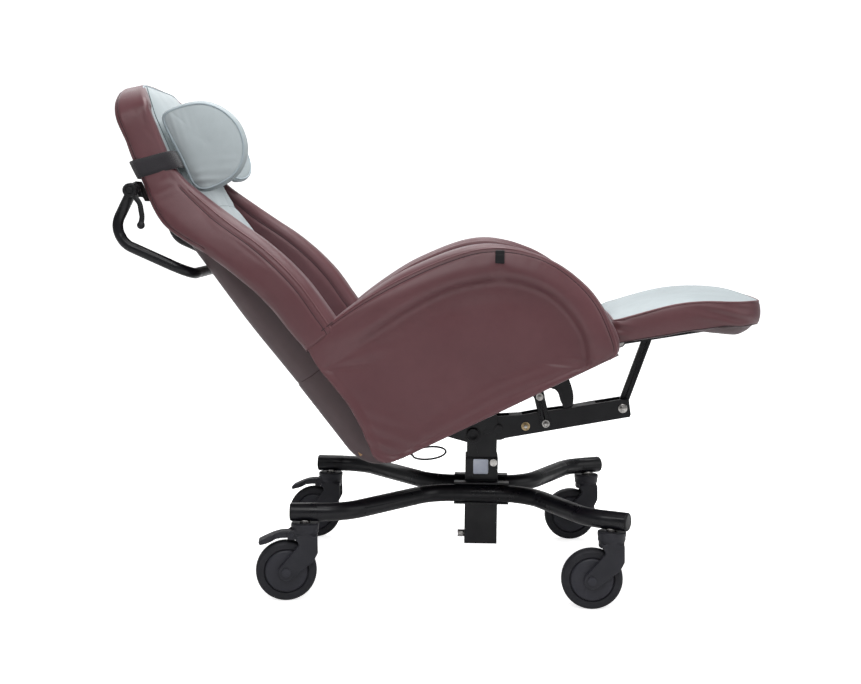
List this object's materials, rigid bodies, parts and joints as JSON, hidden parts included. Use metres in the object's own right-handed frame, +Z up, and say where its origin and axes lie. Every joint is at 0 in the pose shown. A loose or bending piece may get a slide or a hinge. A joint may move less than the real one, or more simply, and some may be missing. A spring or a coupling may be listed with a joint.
{
  "type": "patient recliner chair",
  "caption": "Tilting care recliner on a castor base with height column, linked leg rest, fold-down push bar and winged headrest.",
  "frame": {"origin": "on the floor under the middle of the chair's bounding box, in the fully tilted rest pose", "axes": "+X towards the sitter's feet, +Y towards the sitter's left, +Z up"},
  "size_m": [1.3314, 0.679, 1.0735],
  "materials": {
    "black_paint": "satin",
    "zinc_steel": "satin",
    "black_plastic": "matte",
    "castor_plastic": "matte",
    "tyre_rubber": "matte",
    "label_plate": "satin",
    "burgundy_vinyl": "satin",
    "grey_vinyl": "satin",
    "leg_vinyl": "satin",
    "shell_vinyl": "satin",
    "plywood": "matte",
    "strap_web": "matte",
    "cable_rubber": "satin",
    "polished_rod": "polished"
  },
  "bodies": {
    "base": {"base_tube_right": "black_paint", "base_tube_left": "black_paint", "tube_caps": "black_plastic", "column_sleeve": "black_paint", "sleeve_collar": "black_plastic", "column_bolts": "zinc_steel", "blank_plate": "label_plate", "castor_stems": "zinc_steel"},
    "castor_rear_right": {"castor_fork_rr": "castor_plastic", "castor_axle_rr": "zinc_steel"},
    "wheel_rear_right": {"wheel_hub_rr": "castor_plastic", "wheel_tyre_rr": "tyre_rubber"},
    "brake_pedal_rear_right": {"brake_pedal_rr": "castor_plastic"},
    "castor_rear_left": {"castor_fork_rl": "castor_plastic", "castor_axle_rl": "zinc_steel"},
    "wheel_rear_left": {"wheel_hub_rl": "castor_plastic", "wheel_tyre_rl": "tyre_rubber"},
    "brake_pedal_rear_left": {"brake_pedal_rl": "castor_plastic"},
    "castor_front_right": {"castor_fork_fr": "castor_plastic", "castor_axle_fr": "zinc_steel"},
    "wheel_front_right": {"wheel_hub_fr": "castor_plastic", "wheel_tyre_fr": "tyre_rubber"},
    "castor_front_left": {"castor_fork_fl": "castor_plastic", "castor_axle_fl": "zinc_steel"},
    "wheel_front_left": {"wheel_hub_fl": "castor_plastic", "wheel_tyre_fl": "tyre_rubber"},
    "column": {"column_inner": "black_paint", "head_pins": "zinc_steel"},
    "seat": {"seat_frame": "black_paint", "frame_bolts": "zinc_steel", "seat_board": "plywood", "back_shell": "shell_vinyl", "armrest_right": "burgundy_vinyl", "armrest_left": "burgundy_vinyl", "wing_right": "burgundy_vinyl", "wing_left": "burgundy_vinyl", "back_band": "burgundy_vinyl", "back_cushion": "grey_vinyl", "seat_cushion": "grey_vinyl", "arm_tabs": "black_plastic", "push_clamps": "black_paint", "tilt_cable": "cable_rubber"},
    "lever_arm": {"lever_arm": "black_paint", "lever_bolts": "zinc_steel"},
    "short_link": {"short_links": "black_paint"},
    "leg_rest": {"legrest_frame": "black_paint", "legrest_board": "black_plastic", "legrest_cushion": "leg_vinyl"},
    "strut": {"leg_strut": "black_paint"},
    "gas_spring": {"gas_spring_body": "black_paint"},
    "gas_rod": {"gas_spring_rod": "polished_rod"},
    "push_bar": {"push_bar": "black_paint"},
    "clamp_lever_right": {"clamp_lever_right": "black_plastic"},
    "clamp_lever_left": {"clamp_lever_left": "black_plastic"},
    "headrest": {"headrest_pad": "grey_vinyl", "headrest_strap": "strap_web"},
    "headrest_ear_right": {"headrest_ear_right": "grey_vinyl"},
    "headrest_ear_left": {"headrest_ear_left": "grey_vinyl"}
  },
  "joints": [
    {"name": "castor_swivel_rear_right", "type": "hinge", "parent": "base", "child": "castor_rear_right", "pos_m": [-0.2596, -0.2739, 0], "axis": [0, 0, 1], "continuous": true},
    {"name": "wheel_spin_rear_right", "type": "hinge", "parent": "castor_rear_right", "child": "wheel_rear_right", "pos_m": [-0.29732, -0.27853, 0.0625], "axis": [-0.1219, 0.9925, 0], "continuous": true},
    {"name": "brake_pedal_rear_right", "type": "hinge", "parent": "castor_rear_right", "child": "brake_pedal_rear_right", "pos_m": [-0.28541, -0.27707, 0.139], "axis": [-0.1219, 0.9925, 0], "range_deg": [0, 18]},
    {"name": "castor_swivel_rear_left", "type": "hinge", "parent": "base", "child": "castor_rear_left", "pos_m": [-0.2596, 0.2739, 0], "axis": [0, 0, 1], "continuous": true},
    {"name": "wheel_spin_rear_left", "type": "hinge", "parent": "castor_rear_left", "child": "wheel_rear_left", "pos_m": [-0.29755, 0.27589, 0.0625], "axis": [0.0523, 0.9986, 0], "continuous": true},
    {"name": "brake_pedal_rear_left", "type": "hinge", "parent": "castor_rear_left", "child": "brake_pedal_rear_left", "pos_m": [-0.28556, 0.27526, 0.139], "axis": [0.0523, 0.9986, 0], "range_deg": [0, 18]},
    {"name": "castor_swivel_front_right", "type": "hinge", "parent": "base", "child": "castor_front_right", "pos_m": [0.3652, -0.3013, 0], "axis": [0, 0, 1], "continuous": true},
    {"name": "wheel_spin_front_right", "type": "hinge", "parent": "castor_front_right", "child": "wheel_front_right", "pos_m": [0.32722, -0.29997, 0.0625], "axis": [0.0349, 0.9994, 0], "continuous": true},
    {"name": "castor_swivel_front_left", "type": "hinge", "parent": "base", "child": "castor_front_left", "pos_m": [0.3652, 0.3013, 0], "axis": [0, 0, 1], "continuous": true},
    {"name": "wheel_spin_front_left", "type": "hinge", "parent": "castor_front_left", "child": "wheel_front_left", "pos_m": [0.32729, 0.29865, 0.0625], "axis": [-0.0698, 0.9976, 0], "continuous": true},
    {"name": "column_lift", "type": "slide", "parent": "base", "child": "column", "axis": [0, 0, 1], "range_m": [0, 0.12]},
    {"name": "seat_tilt", "type": "hinge", "parent": "column", "child": "seat", "pos_m": [0.0837, 0, 0.311], "axis": [0, 1, 0], "range_deg": [0, 22]},
    {"name": "lever_arm_pivot", "type": "hinge", "parent": "column", "child": "lever_arm", "pos_m": [0.1402, 0, 0.3226], "axis": [0, 1, 0], "range_deg": [0, 34.2]},
    {"name": "short_link_pivot", "type": "hinge", "parent": "lever_arm", "child": "short_link", "pos_m": [0.2435, 0, 0.3359], "axis": [0, 1, 0], "range_deg": [-6, 0]},
    {"name": "leg_rest_hinge", "type": "hinge", "parent": "seat", "child": "leg_rest", "pos_m": [0.3841, 0, 0.5341], "axis": [0, 1, 0], "range_deg": [0, 25.2]},
    {"name": "strut_pivot", "type": "hinge", "parent": "lever_arm", "child": "strut", "pos_m": [0.4126, 0, 0.3717], "axis": [0, 1, 0], "range_deg": [-13.3, 0]},
    {"name": "gas_spring_pivot", "type": "hinge", "parent": "seat", "child": "gas_spring", "pos_m": [0.25801, 0, 0.47658], "axis": [0, 1, 0], "range_deg": [-3, 0]},
    {"name": "gas_spring_stroke", "type": "slide", "parent": "gas_spring", "child": "gas_rod", "axis": [-0.8763, 0, -0.4818], "range_m": [0, 0.0218]},
    {"name": "push_bar_swing", "type": "hinge", "parent": "seat", "child": "push_bar", "pos_m": [-0.61338, 0, 0.83426], "axis": [0, 1, 0], "range_deg": [0, 100]},
    {"name": "clamp_lever_turn_right", "type": "hinge", "parent": "seat", "child": "clamp_lever_right", "pos_m": [-0.61338, -0.282, 0.83426], "axis": [0, 1, 0], "range_deg": [-40, 40]},
    {"name": "clamp_lever_turn_left", "type": "hinge", "parent": "seat", "child": "clamp_lever_left", "pos_m": [-0.61338, 0.282, 0.83426], "axis": [0, 1, 0], "range_deg": [-40, 40]},
    {"name": "headrest_slide", "type": "slide", "parent": "seat", "child": "headrest", "axis": [-0.4478, 0, 0.8942], "range_m": [0, 0.06]},
    {"name": "headrest_ear_fold_right", "type": "hinge", "parent": "headrest", "child": "headrest_ear_right", "pos_m": [-0.50744, -0.201, 0.91304], "axis": [-0.4478, 0, 0.8942], "range_deg": [-70, 0]},
    {"name": "headrest_ear_fold_left", "type": "hinge", "parent": "headrest", "child": "headrest_ear_left", "pos_m": [-0.50744, 0.201, 0.91304], "axis": [-0.4478, 0, 0.8942], "range_deg": [-70, 0]}
  ],
  "couplings": [
    {"joint": "lever_arm_pivot", "follows": "seat_tilt", "ratio": 1.552},
    {"joint": "short_link_pivot", "follows": "seat_tilt", "ratio": -0.268},
    {"joint": "leg_rest_hinge", "follows": "seat_tilt", "ratio": 1.139},
    {"joint": "strut_pivot", "follows": "seat_tilt", "ratio": -0.597},
    {"joint": "gas_spring_pivot", "follows": "seat_tilt", "ratio": -0.1324},
    {"joint": "gas_spring_stroke", "follows": "seat_tilt", "m_per_rad": 0.056455}
  ]
}
